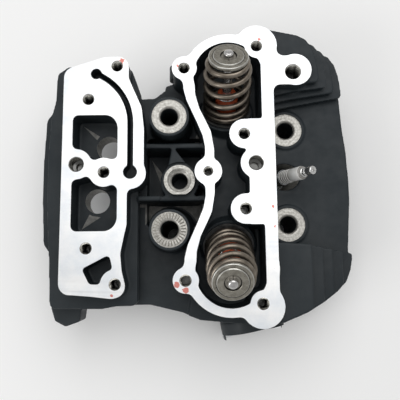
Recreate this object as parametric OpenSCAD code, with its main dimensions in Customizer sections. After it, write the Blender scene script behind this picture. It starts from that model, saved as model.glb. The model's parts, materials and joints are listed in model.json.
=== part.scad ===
// Air-cooled cylinder head with two valves, a hemispherical chamber and separate rocker decks.
// The origin is the centre of the cylinder bore on the gasket face. +Z runs up to the rocker
// decks, +X to the spark plug side and +Y to the intake side. Lengths are in millimetres.

/* [Casting] */
// Height of the rocker decks above the gasket face
deck_z = 86; // [85:0.5:88]
// Height of the uppermost full cooling fin
floor_z = 57; // [56:0.5:58]
// Thickness of a cooling fin
fin_t = 3.2; // [2.6:0.1:3.6]
// Distance from one full cooling fin to the next
fin_pitch = 9; // [8.5:0.1:9.5]
// Number of full cooling fins
fin_count = 6; // [4:1:6]
// Distance between the short fins beside the valve deck
shelf_pitch = 6; // [5.5:0.1:6.2]
// Number of short fins in each corner stack
shelf_count = 4; // [2:1:4]

/* [Chamber and ports] */
// Radius of the hemispherical combustion chamber
chamber_r = 59; // [58:0.5:59.5]
// Depth of the chamber sphere's centre below the gasket face
chamber_drop = 35.4; // [35:0.1:36]
// Radius of both ports
port_r = 17; // [15:0.5:17]

/* [Head bolts] */
// Radius of a head bolt hole
bolt_r = 6.5; // [6:0.1:6.8]
// Radius of a machined bolt seat
bolt_seat_r = 12.75; // [12:0.25:13]
// Height of the bolt seats on the pushrod side
inner_seat_z = 83.5; // [80:0.5:84]
// Height of the bolt seats on the spark plug side
outer_seat_z = 58.2; // [58:0.1:60]

/* [Rocker deck holes] */
// Tapping radius of a rocker box screw hole
tap_r = 3.3; // [3:0.1:3.5]
// Radius of the chamfer at a tapped hole's mouth
tap_mouth_r = 4.3; // [4:0.1:4.6]
// Depth of a rocker box screw hole
tap_depth = 22; // [16:1:24]
// Radius of a pushrod passage
pushrod_r = 9.2; // [8.8:0.1:9.6]

/* [Valves] */
// Tilt of each valve from the cylinder axis
valve_tilt = 29.5; // [29:0.1:30]
// Radius of the intake valve's head
intake_r = 22; // [21:0.5:22]
// Radius of the exhaust valve's head
exhaust_r = 19.5; // [19:0.5:20]
// Radius of a valve stem
stem_r = 3.5; // [3.4:0.05:3.6]
// Distance of a stem's tip from the chamber sphere's centre
tip_d = 163; // [162.5:0.5:163.5]
// Radial clearance between a stem and its guide
stem_gap = 0.04; // [0.02:0.01:0.08]

/* [Valve springs] */
// Radius of the spring wire
wire_r = 2.1; // [1.9:0.05:2.2]
// Outer radius of a spring over its lower coils
spring_r = 18; // [17.5:0.1:18]
// Outer radius of a spring's top coil
spring_top_r = 14.6; // [14.4:0.1:14.8]
// Number of coils
spring_turns = 6.3; // [6:0.1:6.4]
// Length of an installed spring
spring_h = 48.6; // [48:0.1:49]

/* [Spark plug] */
// Tilt of the spark plug from the cylinder axis
plug_tilt = 28.3; // [28:0.1:29]
// Radius of the spark plug's thread
plug_r = 6.9; // [6.5:0.1:6.9]
// Reach of the spark plug's thread
plug_reach = 19; // [18:0.5:19]

/* [Hidden] */

intake = 1;
exhaust = -1;
sides = [exhaust, intake];
round_fn = 96;
outline_fn = 24;

// Bolts and screws, as seen from above.
inner_bolts = [for (s = sides) [-42.2, s * 41.5]];
outer_bolts = [for (s = sides) [47, s * 37]];
ring_edge_taps = concat([for (s = sides) [-30.9, s * 77.3]], [for (s = sides) [22.8, s * 93.7]],
                        [for (s = sides) [12.35, s * 27.3]]);
ring_stud = [-14, 0];
ring_stud_r = 2.6;
ring_oil = [20.5, 5.7];
arm_tap = [49.2, 73.6];
arm_tap_r = 5;
plate_taps = concat([for (s = sides) [-80.1, s * 79.4]], [for (s = sides) [-100.8, s * 54.2]],
                    [[-89, 0]]);
plate_oil = [-108.8, 6];
oil_r = 5.2;
pushrods = [[-97, -18.5], [-89, 22]];
central_boss = [-35.1, -5.2];
central_boss_r = 11.3;
central_neck_r = 14.3;
central_step_z = 72;
central_face_z = 79;
central_bore_r = 6.1;
central_flat_y = -10.4;
rib_t = 3.6;

// Distances along a valve's axis are measured from the centre of the chamber sphere.
chamber_x = 1;
pad_d = 106.9;
seat_washer_t = 1.5;
spring_low_d = pad_d + seat_washer_t + 0.05;
spring_high_d = spring_low_d + spring_h;
retainer_d = spring_high_d + 0.05;
plateau_d = retainer_d + 3.2;
keeper_low_d = retainer_d - 4.6;
keeper_high_d = plateau_d - 1.2;
keeper_low_r = 4.88;
keeper_high_r = 5.65;
guide_r = 7;
guide_low_d = 80;
guide_high_d = 121;
seal_r = 8.4;
seat_ring_t = 7.4;
margin_t = 1.4;

// Levels of the pushrod side.
block_low_z = 36;
window_floor_z = 66;
valley_z = 54;
pocket_floor_z = 44;
well_floor_z = 52;
ring_floor_z = 60;
well = [1.5, 69.5];
port_elbow_d = 76;
port_z = 28;
intake_flange = [-8, 98];
intake_ear = 29;
exhaust_flange = [20, -117];
exhaust_turn = 12;
exhaust_ear = 24;
exhaust_ear_turn = 50;
flange_t = 9;
flange_cut = 0.6;
flange_room = 20;
flange_tap_r = 3.4;
flange_tap_depth = 18;
boss_neck_r = 14.8;
boss_foot_r = 20;
outer_boss_r = 15;

// Round the spring pads.
spring_pad_r = 21;
spring_pocket_r = 20.6;
spring_pocket_h = 60;

// The spark plug's gasket seat lies on the plug's axis.
plug_seat = [33.6, 0, 34.9];
plug_well_r = 10.4;
plug_well_h = 34;

// ---------- helpers ----------

// Places children in a valve's frame: +Z runs up its stem from the chamber sphere's centre.
module on_valve(side) {
    translate([chamber_x, 0, -chamber_drop])
        rotate([-side * valve_tilt, 0, 0])
            children();
}

// Places children in the spark plug's frame: +Z runs outwards from its gasket seat.
module on_plug() {
    translate(plug_seat)
        rotate([0, plug_tilt, 0])
            children();
}

// A straight round bar or hole from one height to another.
module round_bar(r, low, high) {
    translate([0, 0, low])
        cylinder(r = r, h = high - low, $fn = round_fn);
}

// A cone from one height to another.
module taper(low_r, high_r, low, high) {
    translate([0, 0, low])
        cylinder(r1 = low_r, r2 = high_r, h = high - low, $fn = round_fn);
}

// A slab of an outline from one height to another.
module slab(low, high) {
    translate([0, 0, low])
        linear_extrude(height = high - low)
            children();
}

// Rounds both the inner and the outer corners of an outline.
module soft_corners(inner_r, outer_r) {
    offset(r = outer_r, $fn = outline_fn)
        offset(r = -outer_r - inner_r, $fn = outline_fn)
            offset(r = inner_r, $fn = outline_fn)
                children();
}

// Circles of one radius at several places.
module discs(places, r) {
    for (p = places)
        translate(p)
            circle(r = r, $fn = outline_fn);
}

// A blind tapped hole with a chamfered mouth, drilled down from a deck.
module tapped_hole(place, r, mouth_r, depth) {
    translate([place.x, place.y, deck_z]) {
        round_bar(r, -depth, 1);
        taper(r - 0.5, mouth_r + 0.5, r - mouth_r - 0.5, 0.5);
    }
}

// ---------- outlines of the casting ----------

// Outer edge of the deck round the two valve springs.
module ring_outline() {
    rail_x = 34.5;
    soft_corners(5, 2) {
        for (s = sides)
            scale([1, s])
                polygon([[-31.5, 62], [-29.2, 52.8], [-21.6, 35.8], [-17.7, 26.3], [-16.1, 18],
                         [-16.1, -1], [rail_x, -1], [rail_x, 93], [10, 98]]);
        for (s = sides)
            translate([well.x, s * well.y])
                circle(r = 33.5, $fn = 48);
        discs([[22.8, 94.5], [22.8, -95.6]], 15.2);
        discs([[-30.9, 77.3], [-30.9, -77.3]], 9);
        discs([ring_stud], 9.9);
        discs([[51, 75.3]], 12);
        translate([20, 64])
            square([31, 22]);
    }
}

// Opening inside that deck, with the screw bosses left standing.
module ring_window() {
    soft_corners(1.5, 1.5)
        difference() {
            union() {
                for (s = sides) {
                    translate([1.4, s * 71.2])
                        circle(r = 25.6, $fn = 40);
                    scale([1, s])
                        polygon([[-9.7, -1], [-9.7, 16], [-11.8, 29], [-15.4, 37], [-20, 46.4],
                                 [-22.9, 57], [-23.4, 68], [0, 71], [25.6, 76], [25.6, 38.4],
                                 [15.5, 38.4], [15.5, -1]]);
                }
            }
            discs([for (s = sides) [12.35, s * 27.3]], 10.8);
            for (s = sides)
                translate([12.35, s * 27.3 - 10.8])
                    square([20, 21.6]);
            discs([[20.5, 5.7]], 11.2);
            discs([ring_stud], 9.9);
            discs([for (s = sides) [23.5, s * 94]], 9.6);
            discs([for (s = sides) [-30.9, s * 77.3]], 9.4);
            translate([25.6, -100])
                square([10, 200]);
        }
}

// Outer edge of the deck over the pushrods.
module plate_outline() {
    soft_corners(4, 8)
        union() {
            polygon([[-119.6, -86.4], [-110, -86.4], [-96.5, -87.6], [-82.4, -89.3], [-76, -88],
                     [-72.5, -82], [-75.5, -70], [-76.6, -58], [-73.5, -43], [-72.3, -38],
                     [-72.3, -14], [-60.3, 4], [-60.3, 32], [-62.1, 48], [-67.7, 60.8],
                     [-71.6, 70], [-71.6, 86.8], [-90, 86.2], [-119, 77]]);
            discs([[-70.1, -1]], 11.4);
        }
}

// The two D-shaped pushrod windows. Each has one large corner, away from the groove.
module plate_windows() {
    for (s = sides)
        soft_corners(2, 4)
            difference() {
                union() {
                    translate([-111.9, s > 0 ? 3 : -42.3])
                        square([24.2, 39.3]);
                    translate([-90, s > 0 ? 3 : -33.8])
                        square([10.8, 30.8]);
                    translate([-88.7, s * 33])
                        circle(r = 9.3, $fn = 40);
                }
                discs([plate_oil], 11);
                discs([[-89, 0]], 10.6);
                translate([-120, -3])
                    square([60, 5]);
            }
}

// The small weight-saving pocket, with a bay round the corner screw.
module plate_pocket() {
    soft_corners(1.5, 2.5)
        difference() {
            polygon([[-103.5, -68.5], [-84.2, -58.6], [-81.6, -70], [-88, -79.6], [-98, -79.2]]);
            discs([[-80.1, -79.4]], 10.4);
        }
}

// Oil groove: a round bulb, a straight run, an arc and a smaller bulb.
module oil_groove() {
    bend = [-110.5, 36];
    bend_r = 40.4;
    sweep = 68;
    width = 4.3;
    end_x = bend.x + bend_r * cos(sweep);
    end_y = bend.y + bend_r * sin(sweep);
    discs([[-70.1, 0]], 5.1);
    discs([[end_x, end_y]], 4.1);
    translate([-70.1 - width / 2, 0])
        square([width, bend.y]);
    translate(bend)
        intersection() {
            difference() {
                circle(r = bend_r + width / 2, $fn = 180);
                circle(r = bend_r - width / 2, $fn = 180);
            }
            polygon([[0, 0], [80, 0], [80, 80], [80 * cos(sweep), 80 * sin(sweep)]]);
        }
}

// Outer edge of the fins round the pushrod box. The lower fins bulge further out.
module block_outline(bulge) {
    soft_corners(4, 5)
        polygon([[-130, -97], [-131.5, -60], [-131.5 - bulge, -50], [-133 - bulge, -20],
                 [-133 - bulge, 15], [-131.5 - bulge, 46], [-129.5, 58], [-128.6, 80],
                 [-120, 86], [-72, 84], [-67.5, 72], [-66, 58], [-66, -95.5], [-82, -95.8],
                 [-92, -97.5]]);
}

// Lug at the exhaust end of the pushrod box.
module foot_outline() {
    soft_corners(3, 2)
        polygon([[-132.5, -80], [-132.5, -98], [-129.5, -107], [-121.5, -111.2], [-111, -107.6],
                 [-110, -98], [-100, -97], [-100, -80]]);
}

// Floor of the valley between the two decks.
module valley_outline() {
    soft_corners(2, 2)
        polygon([[-90, -97], [-81.5, -96.2], [-59, -96], [-40, -100.6], [-28.7, -103.4],
                 [-21, -107.9], [0, -108], [0, 84], [-39.8, 84.5], [-39.8, 77.4], [-46.6, 75.2],
                 [-47.2, 70.4], [-56, 65.2], [-66.8, 65], [-69.2, 76], [-72, 84], [-90, 84]]);
}

// Solid core of the casting, inside its fins.
module core_outline() {
    circle(r = 57, $fn = round_fn);
    translate([-27, -84])
        square([54, 158]);
    translate([0, -27])
        square([62, 54]);
}

// Full cooling fin round the core.
module fin_outline() {
    soft_corners(3, 12)
        polygon([[-62, -70], [-40, -100], [-21, -107.5], [24, -112], [40.8, -109.8],
                 [53.4, -105.7], [72.6, -95], [81.7, -88.3], [88.4, -80.4], [90.9, -71],
                 [91.9, -57.4], [94.9, -18], [94.9, -3], [93.7, 21], [91.8, 37], [90.3, 61.4],
                 [89.5, 77], [85, 87], [76, 98], [50, 102], [-30, 96], [-42, 76], [-62, 60]]);
}

// Short fins in the two corners beside the valve deck. Level 0 is the topmost and each level
// reaches further out than the one above it.
module intake_shelf(level) {
    reach = 69.5 + 7 * level;
    corner_y = 67.5 - 2.1 * level;
    soft_corners(2, 3)
        polygon([[10, 56 - 4 * level], [36, 63.5 - 4 * level], [50, 66.2 - 4 * level],
                 [reach, corner_y], [reach - 0.3, corner_y + 10], [reach - 1.6, corner_y + 18],
                 [reach - 4, corner_y + 26.5], [reach - 9, corner_y + 33.5], [54, 104.5],
                 [33, 109], [10, 100]]);
}

module exhaust_shelf(level) {
    reach = 59.5 + 8.8 * level;
    above = shelf_count - level;
    soft_corners(2, 1.5)
        intersection() {
            polygon([[10, -50], [40, -51.5], [reach, -52.8 - 1.6 * level], [reach, -115],
                     [10, -115]]);
            scale([1 - 0.018 * above, 1 - 0.0055 * above])
                polygon([[0, -40], [95, -40], [95, -62], [93.1, -71.7], [89.6, -80.4],
                         [81.7, -88.3], [72.6, -95], [59.1, -102.7], [40.8, -109.8], [33, -111],
                         [0, -100]]);
        }
}

// ---------- the casting ----------

module ports() {
    for (side = sides)
        on_valve(side) {
            round_bar(head_r(side) - 3, 62, 71);
            round_bar(port_r - 0.8, 62, port_elbow_d);
            translate([0, 0, port_elbow_d])
                sphere(r = port_r + 0.6, $fn = round_fn);
        }
    port_run(port_start(intake), [intake_flange.x, intake_flange.y + 2, port_z], port_r);
    port_run(port_start(exhaust), [exhaust_flange.x, exhaust_flange.y - 2, port_z], port_r);
}

function port_start(side) = [
    chamber_x,
    side * port_elbow_d * sin(valve_tilt),
    port_elbow_d * cos(valve_tilt) - chamber_drop
];

// A round bar from one point to another.
module port_run(from, to, r) {
    run = to - from;
    reach = norm(run);
    translate(from)
        rotate([0, acos(run.z / reach), atan2(run.y, run.x)])
            cylinder(r = r, h = reach, $fn = round_fn);
}

// Flange at a port's mouth, drawn round the port and facing along +Z.
module flange_shape(ear, ear_turn, extra = 0) {
    circle(r = port_r + 7 + extra, $fn = round_fn);
    rotate(ear_turn) {
        square([2 * ear, 15 + 2 * extra], center = true);
        for (s = sides)
            translate([s * ear, 0])
                circle(r = 8 + extra, $fn = round_fn);
    }
}

module on_intake_flange() {
    translate([intake_flange.x, intake_flange.y, port_z])
        rotate([-90, 0, 0])
            children();
}

module on_exhaust_flange() {
    translate([exhaust_flange.x, exhaust_flange.y, port_z])
        rotate([90, 0, exhaust_turn])
            children();
}

module flanges() {
    on_intake_flange()
        slab(-flange_t, flange_cut)
            flange_shape(intake_ear, 0);
    on_exhaust_flange()
        slab(-flange_t, flange_cut)
            flange_shape(exhaust_ear, exhaust_ear_turn);
    port_run(port_start(intake), [intake_flange.x, intake_flange.y - 1, port_z], port_r + 6);
    port_run(port_start(exhaust), [exhaust_flange.x, exhaust_flange.y + 1, port_z], port_r + 6);
}

// The flanges' machined faces, with room in front for the parts that bolt to them.
module flange_faces() {
    on_intake_flange()
        slab(0, flange_room)
            flange_shape(intake_ear, 0, flange_cut);
    on_exhaust_flange()
        slab(0, flange_room)
            flange_shape(exhaust_ear, exhaust_ear_turn, flange_cut);
}

module flange_holes() {
    on_intake_flange()
        for (s = sides)
            translate([s * intake_ear, 0, 0])
                round_bar(flange_tap_r, -flange_tap_depth, 1);
    on_exhaust_flange()
        rotate(exhaust_ear_turn)
            for (s = sides)
                translate([s * exhaust_ear, 0, 0])
                    round_bar(flange_tap_r, -flange_tap_depth, 1);
}

module fins() {
    slab(floor_z - fin_t, floor_z) {
        fin_outline();
        exhaust_shelf(shelf_count);
    }
    for (i = [1 : fin_count - 1])
        slab(floor_z - fin_t - i * fin_pitch, floor_z - i * fin_pitch)
            fin_outline();
    for (i = [0 : shelf_count - 1]) {
        top = floor_z + (shelf_count - i) * shelf_pitch;
        slab(top - fin_t, top)
            intake_shelf(i);
        slab(top - fin_t, top)
            exhaust_shelf(i);
    }
}

module shelf_core() {
    slab(floor_z - 1, floor_z + shelf_count * shelf_pitch - 1)
        union() {
            polygon([[10, 60], [46, 66], [54, 72], [60, 84], [54, 96], [33, 102], [10, 98]]);
            polygon([[10, -54], [40, -56], [48, -62], [50, -84], [44, -98], [33, -102],
                     [10, -98]]);
        }
}

module pushrod_box() {
    slab(window_floor_z - 1, deck_z)
        plate_outline();
    slab(block_low_z, window_floor_z)
        offset(delta = -5)
            block_outline(0);
    slab(block_low_z, floor_z)
        foot_outline();
    for (i = [0 : 3])
        slab(70 - fin_t - i * fin_pitch, 70 - i * fin_pitch)
            block_outline(i == 0 ? 1 : 7);
}

// Space above the valley floor, with a deeper pocket round the bolt bosses.
module valley_hollow() {
    slab(valley_z, floor_z + 2)
        polygon([[-90, -115], [-32, -115], [-16, -30], [-16, 30], [-32, 115], [-90, 115]]);
    slab(pocket_floor_z, valley_z + 1)
        soft_corners(1, 3)
            polygon([[-61, -38], [-19, -38], [-19, 32], [-61, 32]]);
}

// Bolt bosses, ribs and the machined boss that stand in the valley.
module valley_bosses() {
    for (p = inner_bolts)
        translate([p.x, p.y, 0]) {
            round_bar(boss_neck_r, 0, inner_seat_z);
            taper(boss_foot_r, boss_neck_r - 0.5, block_low_z + 4, valley_z + 8);
        }
    for (y = [-19.5, 20])
        translate([-66, y, block_low_z + 4])
            cube([50, rib_t, 34]);
    translate([central_boss.x, central_boss.y, 0]) {
        round_bar(central_neck_r, block_low_z, central_step_z);
        round_bar(central_boss_r, block_low_z, central_face_z);
        slab(40, 74)
            polygon([[-9, 9], [-6, 24], [-3, 24], [6, 12], [6, 6]]);
    }
}

module raw_casting() {
    difference() {
        union() {
            slab(0, floor_z - 1)
                core_outline();
            fins();
            slab(block_low_z, valley_z)
                valley_outline();
        }
        valley_hollow();
    }
    valley_bosses();
    shelf_core();
    slab(block_low_z + 4, deck_z)
        ring_outline();
    pushrod_box();
    for (p = outer_bolts)
        translate([p.x, p.y, 0])
            round_bar(outer_boss_r, 0, outer_seat_z);
    flanges();
}

// Cast hollows, made before the spring pads are added.
module cast_hollows() {
    slab(ring_floor_z, deck_z + 1)
        ring_window();
    for (s = sides)
        slab(well_floor_z, ring_floor_z + 1)
            intersection() {
                ring_window();
                translate([-40, s > 0 ? 39 : -139])
                    square([80, 100]);
            }
    slab(window_floor_z, deck_z + 1)
        plate_windows();
    slab(deck_z - 16, deck_z + 1)
        plate_pocket();
    slab(deck_z - 12, deck_z + 1)
        oil_groove();
}

module spring_pads() {
    for (side = sides)
        on_valve(side)
            round_bar(spring_pad_r, 84, pad_d);
}

module machining() {
    translate([chamber_x, 0, -chamber_drop])
        sphere(r = chamber_r, $fn = 180);
    ports();
    for (side = sides)
        on_valve(side) {
            r = head_r(side);
            round_bar(r + 2, sphere_d(r + 2) + 0.7, sphere_d(r) + 2 + seat_ring_t);
            round_bar(guide_r, 70, pad_d + 2);
            round_bar(spring_pocket_r, pad_d, pad_d + spring_pocket_h);
        }
    for (p = concat(inner_bolts, outer_bolts))
        translate([p.x, p.y, 0])
            round_bar(bolt_r, -1, deck_z);
    for (p = inner_bolts)
        translate([p.x, p.y, 0])
            round_bar(bolt_seat_r, inner_seat_z - 0.6, deck_z + 1);
    for (p = outer_bolts)
        translate([p.x, p.y, 0])
            round_bar(bolt_seat_r, outer_seat_z - 0.6, outer_seat_z + 12);
    for (p = concat(ring_edge_taps, plate_taps))
        tapped_hole(p, tap_r, tap_mouth_r, tap_depth);
    tapped_hole(ring_stud, ring_stud_r, ring_stud_r + 1, 16);
    tapped_hole(arm_tap, arm_tap_r, arm_tap_r + 1, 20);
    for (p = [ring_oil, plate_oil])
        translate([p.x, p.y, deck_z]) {
            round_bar(oil_r, -12, 1);
            round_bar(oil_r - 2, -18, 0);
        }
    for (p = pushrods)
        translate([p.x, p.y, 0]) {
            round_bar(pushrod_r, block_low_z - 1, deck_z - 1);
            round_bar(pushrod_r + 4, block_low_z - 1, block_low_z + 12);
        }
    translate([central_boss.x, central_boss.y, 0]) {
        round_bar(central_bore_r, 48, deck_z);
        taper(central_bore_r - 0.5, central_bore_r + 3, central_face_z - 3, central_face_z + 0.5);
        translate([-central_neck_r, central_flat_y - 5, central_step_z])
            cube([2 * central_neck_r, 5, deck_z - central_step_z]);
    }
    on_plug() {
        round_bar(plug_r + 0.1, -plug_reach - 6, 1);
        round_bar(plug_well_r, 0, plug_well_h);
    }
    flange_faces();
    flange_holes();
}

function head_r(side) = side == intake ? intake_r : exhaust_r;

// Distance from the chamber sphere's centre at which a disc of a radius meets the sphere.
function sphere_d(r) = sqrt(chamber_r * chamber_r - r * r);

module head_casting() {
    color([0.2, 0.22, 0.24])
        difference() {
            union() {
                difference() {
                    raw_casting();
                    cast_hollows();
                }
                spring_pads();
            }
            machining();
        }
}

// ---------- valve gear ----------

module valve(side) {
    r = head_r(side);
    face_d = sphere_d(r) + 0.7;
    rim_d = face_d + margin_t;
    neck_d = rim_d + 2.4;
    color([0.6, 0.6, 0.6])
        on_valve(side)
            rotate_extrude($fn = round_fn)
                polygon([[0, face_d], [r, face_d], [r, rim_d], [r - 2.4, neck_d],
                         [r - 8, neck_d + 2], [8, neck_d + 6], [5, neck_d + 11],
                         [stem_r, neck_d + 19], [stem_r, tip_d - 8.8], [3, tip_d - 8.3],
                         [3, tip_d - 6.9], [stem_r, tip_d - 6.4], [stem_r, tip_d - 0.9],
                         [stem_r - 0.9, tip_d], [0, tip_d]]);
}

module valve_seat(side) {
    r = head_r(side);
    low = sphere_d(r) + 0.7;
    rim_d = low + margin_t;
    high = sphere_d(r) + 2 + seat_ring_t;
    color([0.55, 0.55, 0.52])
        on_valve(side)
            rotate_extrude($fn = round_fn)
                polygon([[r + 2, low], [r + 2, high], [r - 3, high],
                         [r - 3, rim_d + 3.1], [r + 0.1, rim_d], [r + 0.8, low]]);
}

module valve_guide(side) {
    color([0.62, 0.5, 0.3])
        on_valve(side)
            difference() {
                union() {
                    round_bar(guide_r, guide_low_d + 3, guide_high_d - 1);
                    taper(guide_r - 2, guide_r, guide_low_d, guide_low_d + 3);
                    taper(guide_r, guide_r - 1, guide_high_d - 1, guide_high_d);
                }
                round_bar(stem_r + stem_gap, guide_low_d - 1, guide_high_d + 1);
            }
}

module stem_seal(side) {
    low = guide_high_d - 9;
    top = guide_high_d + 5;
    color([0.75, 0.2, 0.08])
        on_valve(side)
            rotate_extrude($fn = round_fn)
                polygon([[guide_r + 0.02, low], [seal_r, low], [seal_r, guide_high_d],
                         [seal_r - 1, guide_high_d + 1.5], [seal_r - 2.2, guide_high_d + 2.2],
                         [seal_r - 2.2, guide_high_d + 3.6], [seal_r - 1.4, top],
                         [stem_r + 0.06, top], [stem_r + 0.06, guide_high_d + 0.05],
                         [guide_r + 0.02, guide_high_d + 0.05]]);
}

module seal_spring(side) {
    color([0.7, 0.7, 0.7])
        on_valve(side)
            translate([0, 0, guide_high_d + 2.9])
                rotate_extrude($fn = round_fn)
                    translate([seal_r - 1.45, 0])
                        circle(r = 0.7, $fn = 24);
}

module spring_seat(side) {
    color([0.45, 0.45, 0.45])
        on_valve(side)
            rotate_extrude($fn = round_fn)
                polygon([[9.4, pad_d], [19.2, pad_d], [19.2, pad_d + seat_washer_t],
                         [13.2, pad_d + seat_washer_t], [13.2, pad_d + 5], [11.8, pad_d + 5],
                         [11.4, pad_d + seat_washer_t], [9.4, pad_d + seat_washer_t]]);
}

// Radius of the spring's centre line: straight below, drawn in over the top coils.
function coil_r(turn) =
    spring_r - wire_r - (spring_r - spring_top_r) * pow(max(0, turn - spring_turns + 2) / 2, 1.5);

// Height of the centre line: closed end coils, then a pitch that widens upwards.
function coil_z(turn) =
    let (room = spring_h - 2 * wire_r)
    wire_r + lookup(turn / spring_turns,
                    [[0, 0], [0.16, 0.098], [0.32, 0.226], [0.48, 0.432], [0.64, 0.66],
                     [0.8, 0.875], [0.86, 0.925], [1, 1]]) * room;

module coil_spring(side) {
    steps = 22;
    facets = 8;
    rings = round(steps * spring_turns);
    start = side == intake ? -130 : 160;
    wire = [for (i = [0 : rings])
        let (turn = i / steps)
        for (k = [0 : facets - 1])
            let (out = coil_r(turn) + wire_r * cos(k * 360 / facets))
            [out * cos(turn * 360 + start), out * sin(turn * 360 + start),
             coil_z(turn) + wire_r * sin(k * 360 / facets)]];
    walls = [for (i = [0 : rings - 1])
        for (k = [0 : facets - 1])
            let (next = (k + 1) % facets)
            [i * facets + k, i * facets + next, (i + 1) * facets + next, (i + 1) * facets + k]];
    first = [[for (k = [facets - 1 : -1 : 0]) k]];
    last = [[for (k = [0 : facets - 1]) rings * facets + k]];
    color([0.45, 0.38, 0.32])
        on_valve(side)
            translate([0, 0, spring_low_d])
                polyhedron(points = wire, faces = concat(walls, first, last));
}

module retainer(side) {
    color([0.5, 0.5, 0.52])
        on_valve(side)
            rotate_extrude($fn = round_fn)
                polygon([[keeper_low_r - 0.03, keeper_low_d - 0.5], [8.2, keeper_low_d - 0.5],
                         [8.2, retainer_d - 2.6], [9.9, retainer_d - 2.2], [9.9, retainer_d],
                         [14.25, retainer_d], [14.25, retainer_d + 1.9], [13.7, retainer_d + 2.5],
                         [11.3, retainer_d + 2.5], [10.6, plateau_d], [6.1, plateau_d],
                         [keeper_high_r + 0.11, plateau_d - 0.5],
                         [keeper_high_r + 0.11, keeper_high_d]]);
}

module keeper(side, half) {
    color([0.65, 0.65, 0.65])
        on_valve(side)
            intersection() {
                rotate_extrude($fn = round_fn)
                    polygon([[stem_r + 0.03, keeper_low_d], [keeper_low_r, keeper_low_d],
                             [keeper_high_r, keeper_high_d - 0.6],
                             [keeper_high_r, keeper_high_d],
                             [stem_r + 0.03, keeper_high_d], [stem_r + 0.03, tip_d - 6.5],
                             [3.05, tip_d - 7], [3.05, tip_d - 8.1], [stem_r + 0.03, tip_d - 8.7]]);
                translate([half * 10.4, 0, retainer_d])
                    cube([20, 20, 30], center = true);
            }
}

// ---------- spark plug ----------

module plug_shell() {
    hex_across = 15.9;
    color([0.75, 0.75, 0.75])
        on_plug()
            difference() {
                union() {
                    round_bar(plug_r, -plug_reach, 1.7);
                    round_bar(9.4, 1.6, 6.2);
                    translate([0, 0, 6])
                        cylinder(d = hex_across / cos(30), h = 9, $fn = 6);
                    round_bar(7.7, 14.8, 16.8);
                    round_bar(6.3, 16.6, 24.6);
                    translate([-1.3, 0, -plug_reach - 1.7])
                        cube([2.6, plug_r - 0.6, 1.2]);
                    translate([-1.3, plug_r - 1.8, -plug_reach - 1.7])
                        cube([2.6, 1.2, 1.8]);
                }
                round_bar(5.2, 0, 26);
                round_bar(4.6, -plug_reach - 1, 0.1);
            }
}

module plug_insulator() {
    color([0.95, 0.95, 0.93])
        on_plug()
            rotate_extrude($fn = round_fn)
                polygon(concat([[1.35, -16.5], [2.3, -16.5], [4.1, 0], [5.1, 1.5], [5.1, 24]],
                               [for (i = [0 : 4], j = [0 : 3])
                                   [j == 1 || j == 2 ? 4.5 : 5.1, 25 + i * 2.2 + j * 0.55]],
                               [[5.1, 45.6], [4.4, 47.2], [2.05, 47.2], [2.05, 30], [1.35, 30]]));
}

module plug_electrode() {
    color([0.7, 0.68, 0.62])
        on_plug() {
            round_bar(1.3, -18.9, 28);
        }
}

module plug_terminal() {
    color([0.82, 0.82, 0.82])
        on_plug()
            rotate_extrude($fn = round_fn)
                polygon([[0, 31], [2, 31], [2, 47.3], [3.5, 47.3], [3.5, 48], [2.7, 48.4],
                         [2.7, 49.8], [2, 50.6], [2, 51.8], [3.15, 52.6], [3.15, 57.6],
                         [2.6, 58.2], [1.2, 58.2], [1.2, 56.4], [0, 56.4]]);
}

module plug_gasket() {
    color([0.7, 0.66, 0.5])
        on_plug()
            difference() {
                round_bar(9.4, 0, 1.6);
                round_bar(7.2, -1, 3);
            }
}

// ---------- the sub-parts ----------

head_casting();
valve(intake);  // intake_valve
valve(exhaust);  // exhaust_valve
valve_seat(intake);  // intake_valve_seat
valve_seat(exhaust);  // exhaust_valve_seat
valve_guide(intake);  // intake_valve_guide
valve_guide(exhaust);  // exhaust_valve_guide
stem_seal(intake);  // intake_stem_seal
stem_seal(exhaust);  // exhaust_stem_seal
seal_spring(intake);  // intake_seal_spring
seal_spring(exhaust);  // exhaust_seal_spring
spring_seat(intake);  // intake_spring_seat
spring_seat(exhaust);  // exhaust_spring_seat
coil_spring(intake);  // intake_spring
coil_spring(exhaust);  // exhaust_spring
retainer(intake);  // intake_retainer
retainer(exhaust);  // exhaust_retainer
keeper(intake, -1);  // intake_keeper_left
keeper(intake, 1);  // intake_keeper_right
keeper(exhaust, -1);  // exhaust_keeper_left
keeper(exhaust, 1);  // exhaust_keeper_right
plug_shell();
plug_insulator();
plug_electrode();
plug_terminal();
plug_gasket();
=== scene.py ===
"""Looks of the air-cooled cylinder head: coated casting, machined faces, springs, seals, plug."""

import json
from math import cos, pi, radians, sin, sqrt

import bmesh
import bpy
import numpy as np
from mathutils import Matrix, Vector


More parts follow.
